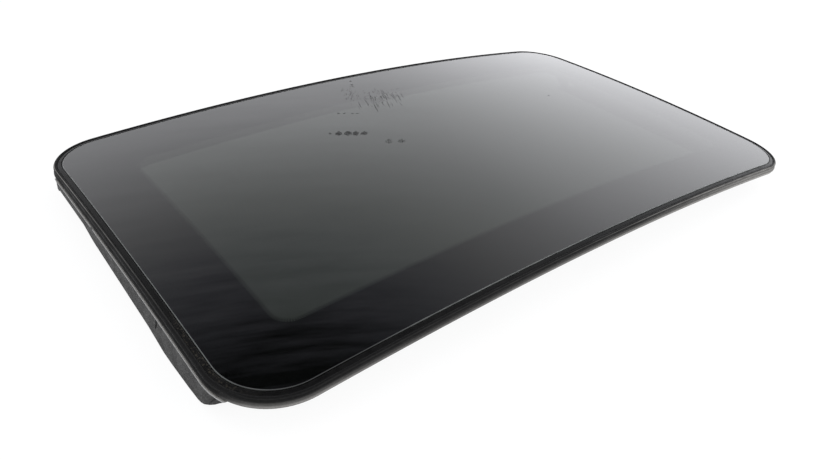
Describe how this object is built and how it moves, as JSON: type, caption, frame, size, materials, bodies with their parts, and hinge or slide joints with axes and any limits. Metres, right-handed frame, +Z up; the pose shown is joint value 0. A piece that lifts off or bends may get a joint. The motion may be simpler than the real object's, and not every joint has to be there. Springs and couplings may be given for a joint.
{
  "type": "sunroof glass panel",
  "caption": "Domed tinted glass panel for a car sunroof, with a black printed border, moulded edge, rubber perimeter seal, bonded steel frame, side rails and side skirts.",
  "frame": {"origin": "centre of the panel in plan, at the lowest point of the side skirts", "axes": "+X along the long side, to the right of the car; +Y towards the front edge; +Z up, square to the crown of the glass"},
  "size_m": [0.8846, 0.5086, 0.0712],
  "materials": {
    "tinted_glass": "polished, privacy tint",
    "black_print": "fired black enamel seen through the glass",
    "moulding_black": "satin moulded polyurethane",
    "seal_rubber": "dusty black rubber",
    "glue_black": "cured adhesive",
    "spacer_rubber": "plain",
    "zinc_steel": "zinc coated pressed sheet",
    "black_steel": "black electro-coat",
    "rivet_steel": "plated",
    "grained_plastic": "grained, dusty",
    "screw_steel": "plated"
  },
  "bodies": {
    "root": {"glass_pane": "tinted_glass", "printed_border": "black_print", "edge_moulding": "moulding_black", "perimeter_seal": "seal_rubber", "bond_bead": "glue_black", "bond_spacers": "spacer_rubber", "frame_ring": "zinc_steel", "left_rail": "black_steel", "right_rail": "black_steel", "rail_rivets": "rivet_steel", "left_skirt": "grained_plastic", "right_skirt": "grained_plastic", "left_skirt_cap": "grained_plastic", "right_skirt_cap": "grained_plastic", "skirt_screws": "screw_steel"}
  },
  "joints": []
}
